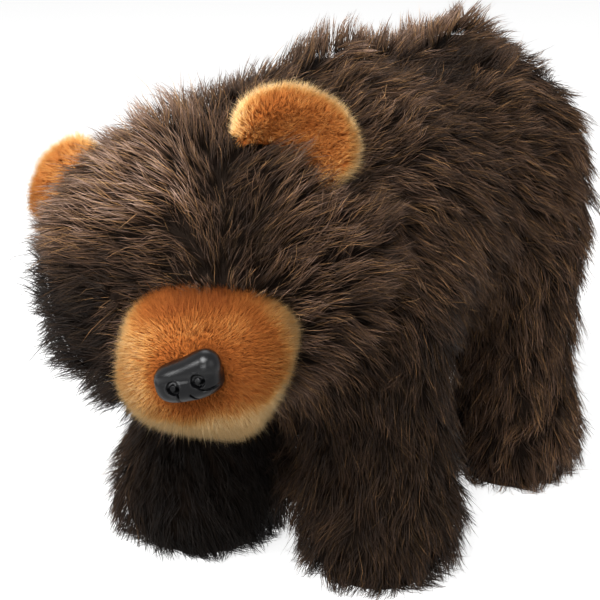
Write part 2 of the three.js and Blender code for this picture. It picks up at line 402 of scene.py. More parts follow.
random = np.random.default_rng(20)
LARGE_LOCK_GAP = 0.0092
SMALL_LOCK_GAP = 0.0034
TRIES_PER_LOCK = 8
LOCK_STEPS = 20  # straight pieces in the path of a lock
SUPPLENESS = 4  # how readily a lock bends as it grows
LIE_PULL = 0.14  # how strongly it bends over to the lie of the pile
SWAY_WAVE = 5.0  # how far it sways to and fro along its length, in radians
LOCK_CURVE = 1.8  # small locks draw into large ones towards their tips
STRAND_CURVE = 1.6  # and strands into small locks a little sooner
LOOSE_SHARE = 0.07


def areas(points, triangles):
    """The area of each triangle."""
    a, b, c = (points[triangles[:, k]] for k in range(3))
    return np.linalg.norm(np.cross(b - a, c - a), axis=1) / 2


def spread(points, triangles, count):
    """Random places on a surface: which triangle, and the weights of its corners."""
    share = np.cumsum(areas(points, triangles))
    chosen = np.minimum(np.searchsorted(share / share[-1], random.random(count)), len(triangles) - 1)
    first, second = random.random((2, count))
    over = first + second > 1
    first[over], second[over] = 1 - first[over], 1 - second[over]
    return chosen, np.stack([1 - first - second, first, second], 1)


def at(values, triangles, weights):
    """A value of the vertices, at places on the triangles."""
    return np.einsum("nk,nk...->n...", weights, values[triangles])


def thinned(points, gap):
    """The numbers of points that lie in different cells of a grid."""
    cells = np.floor(points / gap).astype(np.int64)
    # three large primes make one number of each cell
    key = cells[:, 0] * 73856093 ^ cells[:, 1] * 19349663 ^ cells[:, 2] * 83492791
    return np.unique(key, return_index=True)[1]


def wander(points, size, seed):
    """A smooth random value between about -1 and 1 that changes over size metres."""
    waves = np.random.default_rng(seed)
    total = np.zeros(len(points))
    for _ in range(5):
        direction = unit(waves.normal(size=3)) / size * 2 * math.pi * waves.uniform(0.5, 1.3)
        total += np.sin(points @ direction + waves.uniform(0, 2 * math.pi))
    return total / 3


def tangent(vectors, normals):
    """The part of each vector that lies along the surface, at length 1."""
    return unit(vectors - normals * np.sum(vectors * normals, 1, keepdims=True))


def grow(root, normal, lie, length, lift, droop, sway):
    """The path of each lock: it leaves the root at an angle, bends over to its lie and down, and sways."""
    across = np.cross(normal, lie)
    phase = random.random(len(root)) * 2 * math.pi
    heading = unit(normal * np.sin(lift)[:, None] + lie * np.cos(lift)[:, None])
    here = root.copy()
    path = [here]
    for step in range(LOCK_STEPS):
        here = here + heading * (length / LOCK_STEPS)[:, None]
        path.append(here)
        bend = sway * np.cos(phase + SWAY_WAVE * step / LOCK_STEPS)
        pull = lie * LIE_PULL + across * bend[:, None] + np.array([0, 0, -1.0]) * droop[:, None]
        heading = unit(heading + pull * SUPPLENESS / LOCK_STEPS)
    return np.stack(path, 1)


def locks_on(surface, gap, lie_spread, length_spread, lift_spread, sway):
    """Locks all over a skin, about a gap apart.

    surface holds the skin's points, triangles and normals, and the flow, length, lift, droop and sway of
    the pile at each point.
    """
    points, triangles = surface["points"], surface["triangles"]
    tries = int(areas(points, triangles).sum() / gap**2 * TRIES_PER_LOCK)
    chosen, weights = spread(points, triangles, tries)
    kept = thinned(at(points, triangles[chosen], weights), gap)
    picked, weights = triangles[chosen[kept]], weights[kept]
    count = len(kept)
    root = at(points, picked, weights)
    normal = unit(at(surface["normals"], picked, weights))
    lie = at(surface["flow"], picked, weights) + random.normal(size=(count, 3)) * lie_spread
    lie = tangent(lie, normal)
    length = random.uniform(1 - length_spread, 1 + length_spread, count)
    length = at(surface["length"], picked, weights) * length
    lift = at(surface["lift"], picked, weights) + random.normal(size=count) * lift_spread
    lift = np.clip(lift, 0.12, 1.45)
    droop = at(surface["droop"], picked, weights)
    sway = sway * random.normal(size=count) * at(surface["sway"], picked, weights)
    path = grow(root, normal, lie, length, lift, droop, sway)
    finder = KDTree(count)
    for k, place in enumerate(root.tolist()):
        finder.insert(place, k)
    finder.balance()
    return {"root": root, "path": path, "tone": random.random(count), "finder": finder}


def nearest(locks, places):
    """The number of the lock that each place belongs to."""
    return np.array([locks["finder"].find(p)[1] for p in places.tolist()])


def gather(locks, larger, share, draw):
    """Bends small locks into the larger ones around them."""
    owner = nearest(larger, locks["root"])
    offset = (locks["root"] - larger["root"][owner])[:, None]
    times = np.linspace(0, 1, LOCK_STEPS + 1)[None, :, None]
    together = larger["path"][owner] + offset * (1 - draw * times**LOCK_CURVE)
    locks["path"] += (together - locks["path"]) * share
    locks["tone"] = 0.5 * locks["tone"] + 0.5 * larger["tone"][owner]


def unwrapped(points, triangles):
    """The triangles unwrapped on their own: the place of each corner on the unwrap."""
    used, renumbered = np.unique(triangles, return_inverse=True)
    mesh = bpy.data.meshes.new("unwrap")
    mesh.from_pydata(points[used].tolist(), [], renumbered.reshape(-1, 3).tolist())
    made = in_scene("unwrap", mesh)
    bpy.context.view_layer.objects.active = made
    made.select_set(True)
    bpy.ops.object.mode_set(mode="EDIT")
    bpy.ops.mesh.select_all(action="SELECT")
    bpy.ops.uv.smart_project(angle_limit=math.radians(66), island_margin=0.004)
    bpy.ops.object.mode_set(mode="OBJECT")
    places = np.empty(len(mesh.loops) * 2)
    mesh.uv_layers.active.data.foreach_get("uv", places)
    bpy.data.objects.remove(made)
    return places.reshape(-1, 3, 2)


# Where the rings of a strand lie along it, and how wide they are, from the root to the tip.
LONG_STRAND = [(0.0, 0.0), (0.34, 1.0), (0.72, 0.78), (1.0, 0.0)]
UNDER_STRAND = [(0.0, 0.0), (0.45, 1.0), (1.0, 0.0)]
# The small patch of the map that each strand takes, as shares of the map.
PATCH_HALF_WIDTH = 0.0013
PATCH_HEIGHT = 0.0028
MAP_MARGIN = 0.003


def strand_mesh(name, rings, widths, patches, values):
    """Closed three-sided spikes. rings is (strands, rings, 3) and widths (strands, rings), 0 at a point."""
    count, levels, _ = rings.shape
    along = unit(np.gradient(rings, axis=1))
    side = unit(np.cross(along, random.normal(size=(count, 1, 3))))
    other = np.cross(along, side)
    corners = []
    for k in range(3):
        turn = 2 * math.pi * k / 3
        outward = side * math.cos(turn) + other * math.sin(turn)
        corners.append(rings + outward * widths[..., None] / 2)
    corners = np.stack(corners, 2)
    # a point takes one corner and a full ring three, with the points after the rings
    pointed_root = widths[0, 0] == 0
    root_point = [0] if pointed_root else []
    full = np.arange(len(root_point), levels - 1)
    ring_of = np.concatenate([np.repeat(full, 3), root_point, [levels - 1]]).astype(int)
    corner_of = np.concatenate([np.tile(np.arange(3), len(full)), root_point, [0]]).astype(int)
    points = corners[:, ring_of, corner_of]
    per = points.shape[1]

    template = [] if pointed_root else [(0, 2, 1)]
    last = (len(full) - 1) * 3
    for k in range(3):
        after = (k + 1) % 3
        if pointed_root:
            template.append((per - 2, after, k))
        for start in range(0, last, 3):
            a, b = start + k, start + after
            template += [(a, b, b + 3), (a, b + 3, a + 3)]
        template.append((last + k, last + after, per - 1))
    faces = (np.array(template)[None] + (np.arange(count) * per)[:, None, None]).reshape(-1, 3)

    mesh = bpy.data.meshes.new(name)
    mesh.vertices.add(count * per)
    mesh.vertices.foreach_set("co", points.ravel())
    mesh.loops.add(len(faces) * 3)
    mesh.loops.foreach_set("vertex_index", faces.ravel().astype(np.int32))
    mesh.polygons.add(len(faces))
    mesh.polygons.foreach_set("loop_start", np.arange(0, len(faces) * 3, 3, dtype=np.int32))
    mesh.update(calc_edges=True)
    mesh.shade_smooth()

    # each strand is a small patch of the map at its root's place, with its tip at the top of the patch
    within = [(corner_of - 1) * PATCH_HALF_WIDTH, (ring_of / (levels - 1) - 0.5) * PATCH_HEIGHT]
    within = np.stack(within, 1)
    within[ring_of == levels - 1, 0] = 0
    spots = np.clip(patches, MAP_MARGIN, 1 - MAP_MARGIN)[:, None] + within[None]
    uv = mesh.uv_layers.new(name="OFBake")
    uv.data.foreach_set("uv", spots.reshape(-1, 2)[faces.ravel()].ravel())

    for value_name, value in values.items():
        layer = mesh.attributes.new(value_name, "FLOAT", "POINT")
        ring_values = np.broadcast_to(value.reshape(count, -1), (count, levels))
        layer.data.foreach_set("value", ring_values[:, ring_of].ravel().astype(np.float32))
    return mesh


def pile_on(name, surface, locks, faces_kept, count, form, width, reach, stray, gold, material, slot):
    """Grows strands on some of a skin's triangles, each bent into its lock.

    surface also holds how bare of pile each point is, how far its colour is tinted, darkened as painted
    shade and paled as painted light, and how drawn into locks it is. form is a strand's rings, reach how
    much of its lock it follows, and stray how far it strays from it.
    """
    points, triangles = surface["points"], surface["triangles"][faces_kept]
    places = unwrapped(points, triangles)
    chosen, weights = spread(points, triangles, count)
    keep = at(surface["bare"], triangles[chosen], weights) < random.random(count)
    chosen, weights = chosen[keep], weights[keep]
    picked = triangles[chosen]
    count = len(picked)
    roots = at(points, picked, weights)
    patches = np.einsum("nk,nkj->nj", weights, places[chosen])
    lock = nearest(locks, roots)
    times, profile = np.array(form).T
    # a few strands are loose, and those stray further and are more often gold
    loose = random.random(count) < LOOSE_SHARE
    golden = (random.random(count) < gold * (1 + 2 * loose)) * random.uniform(0.3, 1.0, count)
    reached = reach * np.clip(random.normal(1.0, 0.14, count), 0.5, 1.15)
    place = np.minimum(times[None] * reached[:, None], 1.0) * LOCK_STEPS
    low = np.minimum(np.floor(place).astype(int), LOCK_STEPS - 1)
    share = (place - low)[..., None]
    path, own = locks["path"], lock[:, None]
    guide = path[own, low] * (1 - share) + path[own, low + 1] * share
    draw = at(surface["draw"], picked, weights)
    drawn = (draw * random.uniform(0.75, 1.2, count))[:, None] * (place / LOCK_STEPS) ** STRAND_CURVE
    offset = (roots - locks["root"][lock])[:, None] * (1 - drawn)[..., None]
    stray = stray * (1.3 - draw) * (1 + 1.5 * loose)
    bend = np.clip(random.normal(size=(count, 3)), -1.7, 1.7) * stray[:, None]
    rings = guide + offset + bend[:, None] * (times**STRAND_CURVE)[None, :, None]
    # no strand goes through the floor
    rings[..., 2] = np.maximum(rings[..., 2], 0.0004 + 0.0005 * random.random((count, 1)))
    # gold strands are finer, and those of a tightly drawn lock stand for more fibres
    girth = width * random.uniform(0.7, 1.3, count) * (1 - 0.35 * (golden > 0))
    girth *= 1 + 1.4 * np.maximum(draw - 0.4, 0)
    tint_and_painted_shading = at(surface["tint_and_painted_shading"], picked, weights)[:, None]
    # the colour is drawn towards the root's by the tint and painted shade, and towards the tip's by painted
    # light
    values = {
        "along": place / LOCK_STEPS * (1 - tint_and_painted_shading) + 0.5 * np.maximum(-tint_and_painted_shading, 0),
        "tone": 0.3 * locks["tone"][lock] + 0.7 * random.random(count),
        "gold": golden,
    }
    mesh = strand_mesh(name, rings, profile[None] * girth[:, None], patches, values)
    mesh.materials.append(material)
    made = in_scene(name, mesh)
    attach(made, "root")


def fibre_material(name, stops, gold_stops, contrast, roughness, gloss):
    """Acrylic fibre: dark at the root and paler to the tip, and paler still on a few gold strands."""
    made, tree = blank_material(name)
    along, tone, gold = [
        node(tree, "ShaderNodeAttribute", attribute_name=value).outputs["Fac"]
        for value in ("along", "tone", "gold")
    ]
    plain = node(tree, "ShaderNodeValToRGB", {"Fac": along}, stops)
    pale = node(tree, "ShaderNodeValToRGB", {"Fac": along}, gold_stops)
    # a colour mix takes its share at input 0 and its colours at 6 and 7, and gives output 2
    colour = {0: gold, 6: plain.outputs["Color"], 7: pale.outputs["Color"]}
    colour = node(tree, "ShaderNodeMix", colour, data_type="RGBA")
    depth = node(tree, "ShaderNodeMapRange", {"Value": tone}, To_Min=1 - contrast, To_Max=1 + contrast)
    toned = {0: colour.outputs[2], "Scale": depth.outputs[0]}
    toned = node(tree, "ShaderNodeVectorMath", toned, operation="SCALE")
    fibre = {"Base Color": toned.outputs[0]}
    fibre = node(tree, "ShaderNodeBsdfPrincipled", fibre, Roughness=roughness, Specular_IOR_Level=gloss)
    node(tree, "ShaderNodeOutputMaterial", {"Surface": fibre.outputs[0]})
    return made


PARTED_AT = 0.022  # to the left of the muzzle's middle
skin = corners_of(cover.data)
skin_normals = unit(smoothed(normals_of(cover.data), cover_edges, 3))
height = skin[:, 2]
on_head = smoothed(on_part["head"], cover_edges, 6)
on_leg = smoothed(is_leg, cover_edges, 10)
on_tail = smoothed(on_part["tail"], cover_edges, 3)

# The lie of the pile: away from the muzzle and from a parting in the forehead over the head, back along
# the trunk, down the legs and out over the feet.
from_muzzle = skin - (muzzle_middle - face_forward * 0.012)
to_left = (skin - muzzle_middle) @ face_left
over_muzzle = (skin - muzzle_middle) @ face_up
above_muzzle = smooth_step(0.010, 0.045, over_muzzle)
head_flow = unit(from_muzzle) + np.array([0, 0, -0.15])
aside = np.tanh((to_left - PARTED_AT) / 0.014)
aside *= above_muzzle * np.where(aside < 0, 0.42, 0.70)
head_flow += aside[:, None] * face_left

down_share = 0.12 + 1.5 * smooth_step(0.205, 0.095, height)
trunk_flow = np.stack([skin_normals[:, 0] * 0.35, np.ones(len(skin)), -down_share], 1)
rear = smooth_step(0.060, 0.125, skin[:, 1])
trunk_flow += rear[:, None] * np.array([0, -0.3, -0.9])

foot = smooth_step(0.040, 0.008, height)
leg_flow = np.array([0, 0.22, -1.0]) + foot[:, None] * unit(skin_normals * [1, 1, 0]) * 0.8
tail_flow = np.tile([0.0, 0.5, -1.0], (len(skin), 1))

flow = on_leg[:, None] * unit(leg_flow) + (1 - on_leg)[:, None] * trunk_flow
flow = on_head[:, None] * head_flow + (1 - on_head)[:, None] * flow
flow = on_tail[:, None] * tail_flow + (1 - on_tail)[:, None] * flow
swirl = wander(skin, 0.060, seed=4)[:, None] * 0.30 + wander(skin, 0.026, seed=5)[:, None] * 0.16
flow = unit(flow) + np.cross(skin_normals, unit(flow)) * swirl
for _ in range(4):
    flow = tangent(smoothed(flow, cover_edges, 2), skin_normals)

# The places where the pile differs from the rest of the coat, each 1 in its middle and 0 away from it.
muzzle_gap = distances(skin, tree_of(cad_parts["muzzle"].data))
near_muzzle = smooth_step(0.030, 0.004, muzzle_gap) * on_head
ridge = smooth_step(0.013, 0.006, np.abs(skin[:, 0] - BACK_LINE))
ridge *= smooth_step(0.4, 0.9, skin_normals[:, 2]) * (1 - on_head)
ridge *= 1 - 0.70 * smooth_step(0.005, -0.040, skin[:, 1])
# on the left of the ridge the pile is pressed into a valley
valley = smooth_step(0.014, 0.006, np.abs(skin[:, 0] - 0.020)) * smooth_step(0.3, 0.8, skin_normals[:, 2])
valley *= (1 - on_head) * smooth_step(0.005, 0.040, skin[:, 1]) * smooth_step(0.105, 0.080, skin[:, 1])
# by the ears it is short, except outside the left one, where it stands up
ear_gap = np.min([distances(skin, tree_of(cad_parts[name].data)) for name in EARS], axis=0)
near_ear = smooth_step(0.016, 0.005, ear_gap) * on_head
near_ear *= smooth_step(0.012, -0.006, (skin - ear_middle["left"]) @ face_left)
near_ear_outside = smooth_step(0.024, 0.008, ear_gap) * on_head - near_ear
crown = smooth_step(0.15, 0.6, skin_normals[:, 2]) * (1 - near_ear)
on_nape = smoothed(on_part["neck"], cover_edges, 10) * smooth_step(-0.045, -0.070, skin[:, 1])
crown *= smooth_step(0.006, 0.032, ear_gap) * np.clip(on_head + 0.8 * on_nape, 0, 1)
parting = smooth_step(0.012, 0.003, np.abs(to_left - PARTED_AT)) * above_muzzle * on_head
parting *= smooth_step(0.072, 0.050, over_muzzle)
from_top = np.linalg.norm((skin - head_middle)[:, :2], axis=1)
head_top = smooth_step(0.034, 0.014, from_top) * smooth_step(0.3, 0.8, skin_normals[:, 2])
forehead = above_muzzle * on_head * (1 - head_top) * smooth_step(0.030, 0.004, to_left)
cheek_right = smooth_step(-0.022, -0.034, to_left) * smooth_step(0.050, 0.030, over_muzzle) * on_head
eye_gap = np.min([np.linalg.norm(skin - middle_of(name), axis=1) for name in EYES], axis=0)
near_eye = smooth_step(0.026, 0.010, eye_gap)
cheek_side = smooth_step(-0.045, -0.066, skin[:, 0]) * on_head
low_leg = smooth_step(0.070, 0.030, height) * on_leg * smooth_step(0.5, 0.9, np.abs(skin_normals[:, 0]))
between_legs = on_leg * smooth_step(0.2, 0.7, -np.sign(skin[:, 0]) * skin_normals[:, 0])

# How long the pile is: shortest by the ears, between the legs and on the tail, longest on the right cheek.
pile_length = 0.0215 + 0.0026 * wander(skin, 0.030, seed=6) - 0.0010 * on_head - 0.0015 * on_leg
pile_length *= 1 - 0.15 * near_muzzle * (1 - near_eye)
pile_length *= (1 - 0.25 * parting) * (1 - 0.50 * near_ear) * (1 - 0.22 * valley)
pile_length *= (1 - 0.02 * head_top) * (1 + 0.04 * rear)
pile_length -= 0.6 * RIDGE_RISE * ridge
pile_length *= 1 - 0.40 * between_legs * smooth_step(0.050, 0.075, height)
pile_length *= (1 - 0.08 * foot * on_leg) * (1 - 0.40 * on_tail) * (1 + 0.35 * cheek_side)

# How steeply it leaves the backing, in radians, most on the ridge and the crown, and how it hangs down.
pile_lift = 0.50 + 0.08 * on_head + 0.66 * ridge - 0.10 * on_leg + 0.16 * wander(skin, 0.025, seed=7)
pile_lift += (0.30 - 0.45 * near_eye) * near_muzzle - 0.30 * near_ear + 0.25 * valley + 0.40 * crown
pile_lift += 0.25 * np.clip(near_ear_outside, 0, 1) - 0.02 * rear + 0.20 * head_top - 0.25 * forehead
pile_lift += 0.15 * cheek_side + 0.16 * low_leg - 0.10 * on_nape
pile_lift = smoothed(pile_lift, cover_edges, 2)
pile_droop = 0.10 + 0.10 * on_head * smooth_step(0.2, -0.4, skin_normals[:, 2]) - 0.08 * ridge

# Painted shade and light in the pile's colour: darker where shade falls, in the parting, above the muzzle
# under the brow, in the valley, on the forelegs (most on the right one, in the head's shadow) and on the
# right cheek; paler as painted light on the lit crown and along the ridge.
pile_shade = 0.40 * parting + 0.40 * near_muzzle * above_muzzle + 0.55 * valley - 0.12 * ridge
# painted shadow of the head on the right foreleg, darkest on its inner side
inner_side = 0.35 + 0.65 * smooth_step(-0.6, 0.1, skin_normals[:, 0])
pile_shade += 0.95 * smoothed(on_part["foreleg_right"], cover_edges, 10) * inner_side
pile_shade -= 0.20 * crown * (1 - parting) * on_head * smooth_step(0.030, 0.004, to_left)
pile_shade += 0.40 * smoothed(on_part["foreleg_left"], cover_edges, 10) + 0.75 * cheek_right

cover_surface = {
    "points": skin,
    "triangles": triangles_of(cover.data),
    "normals": skin_normals,
    "flow": flow,
    "length": pile_length,
    "lift": pile_lift,
    "droop": pile_droop,
    "bare": smooth_step(0.004, 0.002, height) * smooth_step(-0.5, -0.8, skin_normals[:, 2]),
    "tint_and_painted_shading": pile_shade,
    "draw": 0.36 + 0.38 * ridge - 0.12 * forehead,
    "sway": 1 - 0.6 * ridge - 0.5 * forehead,
}
spreads = dict(lie_spread=0.20, length_spread=0.20, lift_spread=0.22, sway=0.50)
large_locks = locks_on(cover_surface, LARGE_LOCK_GAP, **spreads)
tone = 0.5 + 0.3 * wander(large_locks["root"], 0.050, seed=8) + 0.5 * (large_locks["tone"] - 0.5)
large_locks["tone"] = np.clip(tone, 0, 1)
spreads = dict(lie_spread=0.20, length_spread=0.18, lift_spread=0.15, sway=0.45)
cover_locks = locks_on(cover_surface, SMALL_LOCK_GAP, **spreads)
roots = cover_locks["root"]
on_ridge = smooth_step(0.013, 0.006, np.abs(roots[:, 0] - BACK_LINE))
on_ridge = on_ridge * smooth_step(0.185, 0.200, roots[:, 2])
on_ridge = (on_ridge * smooth_step(-0.040, 0.000, roots[:, 1]))[:, None, None]
gather(cover_locks, large_locks, share=0.70 + 0.12 * on_ridge, draw=0.80 + 0.06 * on_ridge)

# Acrylic fibre, crimped and a little glossy: nearly black between the locks, and dull brown at the tips.
# The pale ends and the gold strands are partly the fibre's own colour and partly painted highlight for its
# glints.
brown_fur = fibre_material(
    "brown_acrylic_fur",
    [(0.0, "#0c0806"), (0.35, "#2a1e16"), (0.72, "#574132"), (1.0, "#93796a")],
    [(0.0, "#0c0806"), (0.3, "#40301f"), (0.6, "#8a6642"), (1.0, "#b08c63")],
    contrast=0.50,
    roughness=0.45,
    gloss=0.09,
)

COAT_PARTS = {
    "head": ["head"],
    "trunk": ["neck", "trunk", "tail"],
    "forelegs": ["foreleg_left", "foreleg_right"],
    "hindlegs": ["hindleg_left", "hindleg_right"],
}
LONG_STRANDS_PER_M2 = 300000
UNDER_STRANDS_PER_M2 = 360000

triangle_part = cover_part[cover_surface["triangles"][:, 0]]
triangle_middle = skin[cover_surface["triangles"]].mean(1)
for part, names in COAT_PARTS.items():
    numbers = [COVER_NODES.index(n) for n in names]
    across = triangle_middle[:, 0] - (cad_low.x + cad_high.x) / 2
    if part == "head":
        across = (triangle_middle - head_middle) @ face_left
    for side_name, on_side in (("left", across > 0), ("right", across <= 0)):
        kept_faces = np.flatnonzero(np.isin(triangle_part, numbers) & on_side)
        area = areas(skin, cover_surface["triangles"][kept_faces]).sum()
        where = (cover_surface, cover_locks, kept_faces)
        looks = dict(stray=0.0020, gold=0.24, material=brown_fur, slot="brown_fur")
        count = int(area * LONG_STRANDS_PER_M2)
        name = f"long_pile_{part}_{side_name}"
        pile_on(name, *where, count, LONG_STRAND, width=0.00029, reach=0.95, **looks)
        count = int(area * UNDER_STRANDS_PER_M2)
        name = f"under_pile_{part}_{side_name}"
        pile_on(name, *where, count, UNDER_STRAND, width=0.00037, reach=0.75, **looks)


# ---- Muzzle: tan short-pile plush, cut as a round-ended bag, stuffed and sewn to the face ----
# Its pile stands up and leans away from the nose. It is orange deep down and pale at the tips.

SHORT_PILE_DEPTH = 0.0030
# a strand of the short pile is widest at its root
SHORT_STRAND = [(0.0, 1.0), (1.0, 0.0)]
PRESSED_FROM = 0.0155  # from the muzzle's middle
PRESSED_BY = 0.68  # the share of what lies beyond that
MUZZLE_LOCK_GAP = 0.0012
MUZZLE_STRANDS_A_SIDE = 30000

# Knitted polyester, matt, that shows only as a rust brown between the fibres. Its grain is 0.1 mm.
tan_backing = cloth_material(
    "tan_knitted_backing", 900.0, dark="#85441a", light="#ab662f", relief=0.5, relief_height=0.0005
)

# Short plush, matt and soft: rust at the root, through tan to cream at the tip.
tan_plush = fibre_material(
    "tan_short_pile_plush",
    [(0.0, "#753a19"), (0.35, "#a25d29"), (0.65, "#c6904f"), (1.0, "#dab27a")],
    [(0.0, "#753a19"), (0.35, "#b06c31"), (0.65, "#d3a369"), (1.0, "#ecd4a6")],
    contrast=0.12,
    roughness=0.7,
    gloss=0.05,
)


def rod(p, start, end, radius, flare=0.0):
    """The distance to a round-ended rod, in two or three dimensions. It flares towards its end."""
    start, end = np.array(start, float), np.array(end, float)
    along = end - start
    share = np.clip((p - start) @ along / (along @ along), 0, 1)
    from_line = np.linalg.norm(p - (start + share[:, None] * along), axis=1)
    return from_line - radius - flare * smooth_step(0, 1, share)


def short_pile_piece(name, node_name, voxel, sink):
    """The skin of a short-pile piece, sunk into the head where it is sewn on, and its surface."""
    made = joined(name, [node_name], swell=0.0)
    applied(made)
    points = corners_of(made.data)
    gap = np.minimum(distances(points, part_trees["head"]), distances(points, part_trees["neck"]))
    seated = gap < 0.002
    points[seated] += unit(head_middle - points[seated]) * sink
    set_corners(made.data, points)
    remesh(made, voxel, rounds=8)
    edges = edges_of(made.data)
    normals = unit(smoothed(normals_of(made.data), edges, 2))
    set_corners(made.data, corners_of(made.data) - normals * SHORT_PILE_DEPTH)
    made.data.materials.append(tan_backing)
    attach(made, "root")
    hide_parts(node_name)
    points = corners_of(made.data)
    normals = unit(smoothed(normals_of(made.data), edges, 2))
    return made, {"points": points, "triangles": triangles_of(made.data), "normals": normals}


muzzle, surface = short_pile_piece("muzzle_backing", "muzzle", voxel=0.0022, sink=0.012)
points, normals = surface["points"], surface["normals"]
# the stuffing is pressed in at the lower left
corner_way = unit(face_left - 1.2 * face_up)
over_corner = np.maximum((points - muzzle_middle) @ corner_way - PRESSED_FROM, 0)
points -= (PRESSED_BY * over_corner)[:, None] * corner_way
set_corners(muzzle.data, points)
nose_gap = np.linalg.norm(points - nose_middle, axis=1)
flow = tangent(points - nose_middle + face_forward * 0.006, normals)
flow = tangent(flow + np.cross(normals, flow) * wander(points, 0.030, seed=11)[:, None] * 0.25, normals)
surface["flow"] = flow
surface["length"] = 0.0052 + 0.0004 * wander(points, 0.012, seed=12)
surface["length"] -= 0.0014 * smooth_step(0.022, 0.014, nose_gap)
surface["length"] *= 1 + 0.35 * smooth_step(-0.2, -0.8, normals @ face_up)
surface["lift"] = 1.00 + 0.10 * wander(points, 0.014, seed=13)
surface["droop"] = np.full(len(points), 0.05)
surface["draw"] = np.zeros(len(points))
surface["sway"] = np.ones(len(points))
behind = (points - muzzle_middle) @ face_forward
surface["bare"] = smooth_step(-0.030, -0.036, behind) + smooth_step(0.010, 0.008, nose_gap)
# It is orange in a band over the top and in a patch to the left of the nose. Close round the nose it is
# darkened as painted shade where it meets the nose, and it is paled at the sides, partly its own pale tips
# and partly painted light, and most of all below, as painted light.
on_face = np.stack([(points - muzzle_middle) @ way for way in (face_left, face_forward, face_up)], 1)
band = smooth_step(0.022, 0.014, on_face[:, 1]) * smooth_step(0.018, 0.028, on_face[:, 2])
band *= smooth_step(-0.022, -0.008, on_face[:, 0])
patch = smooth_step(0.009, 0.000, rod(on_face, (0.021, 0.029, 0.006), (0.025, 0.020, 0.019), 0.001))
round_nose = smooth_step(0.0060, 0.0012, distances(points, tree_of(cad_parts["nose"].data)))
pale = 0.75 * smooth_step(-0.004, -0.024, on_face[:, 0]) + 2.2 * smooth_step(0.004, -0.010, on_face[:, 2])
pale = np.clip(pale + smooth_step(0.024, 0.034, on_face[:, 0]), 0, 2.2) * (1 - patch) * (1 - 0.7 * band)
surface["tint_and_painted_shading"] = 0.24 + 0.56 * np.clip(band + 0.36 * patch + 1.2 * round_nose, 0, 1.3)
surface["tint_and_painted_shading"] += 0.14 * wander(points, 0.016, seed=16) - 0.50 * pale * (1 - 0.9 * round_nose)
spreads = dict(lie_spread=0.10, length_spread=0.07, lift_spread=0.05, sway=0.08)
muzzle_locks = locks_on(surface, MUZZLE_LOCK_GAP, **spreads)
looks = dict(width=0.00022, reach=1.0, stray=0.0007, gold=0.3, material=tan_plush, slot="tan_pile")
across = (points[surface["triangles"]].mean(1) - muzzle_middle) @ face_left
for side_name, on_side in (("left", across > 0), ("right", across <= 0)):
    name = "short_pile_muzzle_" + side_name
    faces = np.flatnonzero(on_side)
    pile_on(name, surface, muzzle_locks, faces, MUZZLE_STRANDS_A_SIDE, SHORT_STRAND, **looks)


# ---- Ears: two cupped half rounds of the same tan plush, sewn into the seam of the head ----
# The pile fans out from the root of the ear over the rim, paler there than in the cup.

EAR_LOCK_GAP = 0.0014
EAR_STRANDS = 17000
spreads = dict(lie_spread=0.18, length_spread=0.08, lift_spread=0.10, sway=0.12)
for side_name in ("left", "right"):
    name, node_name = "ear_backing_" + side_name, "ear_" + side_name
    _, surface = short_pile_piece(name, node_name, voxel=0.0016, sink=0.010)
    points, normals = surface["points"], surface["normals"]
    ear_root = ear_middle[side_name] + unit(head_middle - ear_middle[side_name]) * 0.016
    surface["flow"] = tangent(points - ear_root, normals)
    surface["length"] = 0.0052 + 0.0003 * wander(points, 0.010, seed=14)
    surface["lift"] = 1.00 + 0.10 * wander(points, 0.012, seed=15)
    surface["droop"] = np.full(len(points), 0.03)
    surface["bare"] = surface["draw"] = np.zeros(len(points))
    surface["sway"] = np.ones(len(points))
    in_cup = smooth_step(0.024, 0.014, np.linalg.norm(points - ear_middle[side_name], axis=1))
    # deeper orange in the cup, partly the plush's own colour and partly painted shade in its hollow
    surface["tint_and_painted_shading"] = 0.62 * in_cup * smooth_step(0.0, 0.6, normals @ face_forward) - 0.26
    surface["tint_and_painted_shading"] += 0.12 * wander(points, 0.012, seed=17)
    ear_locks = locks_on(surface, EAR_LOCK_GAP, **spreads)
    faces = np.arange(len(surface["triangles"]))
    pile_on("short_pile_ear_" + side_name, surface, ear_locks, faces, EAR_STRANDS, SHORT_STRAND, **looks)


# ---- Nose: one satin black moulding, pushed through the muzzle on its stem ----
# A rounded roll lies over a flatter face, which has two nostrils, each a sunk ring, and slits below them.
# Its own sizes are in mm: x to the bear's left, y forward, z up.

NOSE_STEPS = 84
NOSE_RISE = 1.6  # of the moulding's middle over the solid's
NOSE_REACH = 19.0  # a radius that holds all of it
NOSTRILS = [(-4.2, -2.5), (6.0, -1.6)]
NOSTRIL_RADIUS = 1.9
LIP_RADIUS = 2.9
LIP_HEIGHT = 0.2
SLITS = [
    [(5.6, -4.3), (6.6, -5.2), (8.8, -5.6), (12.5, -4.9)],
    [(-2.7, -4.2), (-4.8, -9.5)],
    [(1.5, -6.2), (2.9, -9.0)],
]
SLIT_DEPTH = 1.6
GROOVE_DEPTH = 0.5
# how the moulding is turned on its stem from the way that the face looks
NOSE_ROLL = math.radians(4)
NOSE_TURN = math.radians(-14)
NOSE_NOD = math.radians(20)


def sphere_grid(steps):
    """The directions and the four-sided faces of a cube drawn out to a sphere."""
    line = np.tan(np.linspace(-math.pi / 4, math.pi / 4, steps + 1))
    u, v = (grid.ravel() for grid in np.meshgrid(line, line))
    one = np.ones_like(u)
    sides = [(u, v, one), (v, u, -one), (one, u, v), (-one, v, u), (v, one, u), (u, -one, v)]
    directions, faces = [], []
    for number, side in enumerate(sides):
        directions.append(np.stack(side, 1))
        start = number * (steps + 1) ** 2
        for row in range(steps):
            first = start + row * (steps + 1) + np.arange(steps)
            faces.append(np.stack([first, first + 1, first + steps + 2, first + steps + 1], 1))
    return unit(np.concatenate(directions)), np.concatenate(faces)


